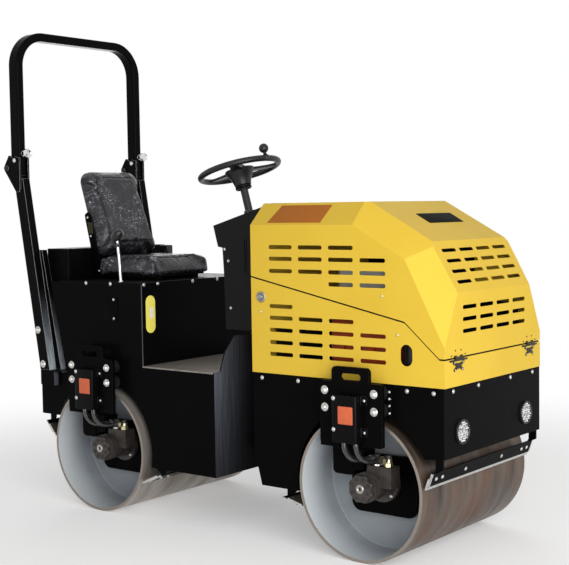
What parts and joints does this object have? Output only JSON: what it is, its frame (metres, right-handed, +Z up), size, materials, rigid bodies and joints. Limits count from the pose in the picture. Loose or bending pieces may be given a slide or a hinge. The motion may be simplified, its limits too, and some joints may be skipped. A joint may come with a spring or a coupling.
{
  "type": "ride-on tandem road roller",
  "caption": "Small ride-on articulated road roller with smooth steel drums, louvred engine hood, seat, steering wheel and folding roll bar.",
  "frame": {"origin": "on the ground, at the middle of the machine's length and width, standing on its drums", "axes": "+X forward, +Y to the driver's left, +Z up; the drums turn about Y"},
  "size_m": [2.371, 0.924, 2.1859],
  "materials": {
    "drum_steel": "rolled steel, worn bright, light rust streaks outside, pale paint inside",
    "black_paint": "gloss black powder coat",
    "yellow_paint": "yellow powder coat, slightly pebbled",
    "cast_motor": "dark grey-brown casting",
    "rubber": "black rubber",
    "hose_rubber": "black hose cover with a soft sheen",
    "seat_vinyl": "black shiny vinyl",
    "floor_steel": "grey galvanised plate, worn",
    "blade_steel": "bright worn steel edge",
    "engine_paint": "dull red engine paint",
    "wheel_plastic": "black moulded plastic",
    "lamp": "clear lens over a bright reflector",
    "cylinder_steel": "black painted cylinder barrel",
    "rod_chrome": "hard chrome rod",
    "hinge_steel": "zinc plated steel"
  },
  "bodies": {
    "rear_frame": {"rear_chassis": "black_paint", "seat_box": "black_paint", "floor_plate": "floor_steel", "rear_tank": "black_paint", "roll_bar_legs": "black_paint", "seat_frame": "black_paint", "seat_cushion": "seat_vinyl", "seat_back": "seat_vinyl", "travel_lever": "wheel_plastic", "pivot_yoke": "black_paint", "rear_left_yoke": "black_paint", "rear_right_yoke": "black_paint", "rear_buffers": "rubber", "rear_drum_motors": "cast_motor", "rear_motor_hoses": "hose_rubber", "rear_scraper_blades": "blade_steel", "rear_scraper_holders": "black_paint", "rear_scraper_hangers": "black_paint", "barrel_clevis": "black_paint"},
    "front_frame": {"front_chassis": "black_paint", "headlights": "lamp", "engine_block": "engine_paint", "lower_cowl": "yellow_paint", "cowl_hinges": "hinge_steel", "firewall": "black_paint", "dash": "black_paint", "steering_column": "black_paint", "pivot_lugs": "black_paint", "front_left_yoke": "black_paint", "front_right_yoke": "black_paint", "front_buffers": "rubber", "front_drum_motors": "cast_motor", "front_motor_hoses": "hose_rubber", "front_scraper_blades": "blade_steel", "front_scraper_holders": "black_paint", "front_scraper_hangers": "black_paint", "rod_clevis": "black_paint"},
    "rear_drum": {"rear_drum": "drum_steel"},
    "front_drum": {"front_drum": "drum_steel"},
    "hood": {"hood": "yellow_paint", "hood_hinges": "hinge_steel"},
    "steering_wheel": {"steering_wheel": "wheel_plastic"},
    "roll_bar_hoop": {"roll_bar_hoop": "black_paint"},
    "steering_barrel": {"steering_barrel": "cylinder_steel"},
    "steering_rod": {"steering_rod": "rod_chrome"}
  },
  "joints": [
    {"name": "articulation", "type": "hinge", "parent": "rear_frame", "child": "front_frame", "pos_m": [0.1905, 0, 0.44], "axis": [0, 0, 1], "range_deg": [-30, 30]},
    {"name": "rear_drum_roll", "type": "hinge", "parent": "rear_frame", "child": "rear_drum", "pos_m": [-0.5995, 0, 0.28], "axis": [0, 1, 0], "continuous": true},
    {"name": "front_drum_roll", "type": "hinge", "parent": "front_frame", "child": "front_drum", "pos_m": [0.8135, 0, 0.28], "axis": [0, 1, 0], "continuous": true},
    {"name": "hood_tilt", "type": "hinge", "parent": "front_frame", "child": "hood", "pos_m": [1.181, 0, 0.791], "axis": [0, 1, 0], "range_deg": [0, 60]},
    {"name": "steering_turn", "type": "hinge", "parent": "front_frame", "child": "steering_wheel", "pos_m": [-0.08418, 0, 1.51179], "axis": [-0.2741, 0, 0.9617], "continuous": true},
    {"name": "roll_bar_fold", "type": "hinge", "parent": "rear_frame", "child": "roll_bar_hoop", "pos_m": [-1.1635, 0, 1.549], "axis": [0, -1, 0], "range_deg": [0, 160]},
    {"name": "cylinder_swing", "type": "hinge", "parent": "rear_frame", "child": "steering_barrel", "pos_m": [-0.2545, 0.19, 0.44], "axis": [0, 0, 1], "range_deg": [-4, 4]},
    {"name": "cylinder_stroke", "type": "slide", "parent": "steering_barrel", "child": "steering_rod", "axis": [1, 0, 0], "range_m": [-0.1, 0.1]}
  ],
  "couplings": [
    {"joint": "cylinder_swing", "follows": "articulation", "ratio": 0.0907},
    {"joint": "cylinder_stroke", "follows": "articulation", "m_per_rad": -0.18373}
  ]
}
